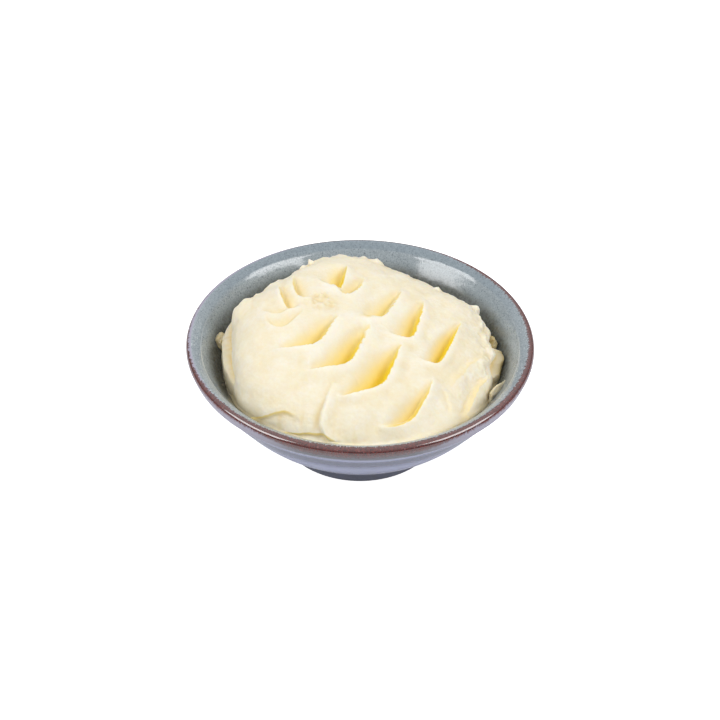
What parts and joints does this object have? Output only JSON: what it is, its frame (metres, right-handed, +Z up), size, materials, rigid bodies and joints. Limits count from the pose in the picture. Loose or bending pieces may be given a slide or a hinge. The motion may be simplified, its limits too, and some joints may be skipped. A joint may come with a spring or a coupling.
{
  "type": "mashed potato side in a bowl",
  "caption": "Smooth mashed potato heaped in a glazed stoneware bowl, its top pressed into rows of curved spoon marks.",
  "frame": {"origin": "centre of the foot ring's underside, on the surface the bowl stands on", "axes": "+Z up along the bowl's turning axis, -Y towards the front of the dish, +X to its right"},
  "size_m": [0.14, 0.14, 0.0629],
  "materials": {
    "stoneware_glaze": "glossy speckled grey-blue reactive glaze that breaks to brown on the rim",
    "mashed_potato": "moist smooth mash, pale cream with yellower hollows"
  },
  "bodies": {
    "root": {"bowl": "stoneware_glaze", "mashed_potato": "mashed_potato"}
  },
  "joints": []
}
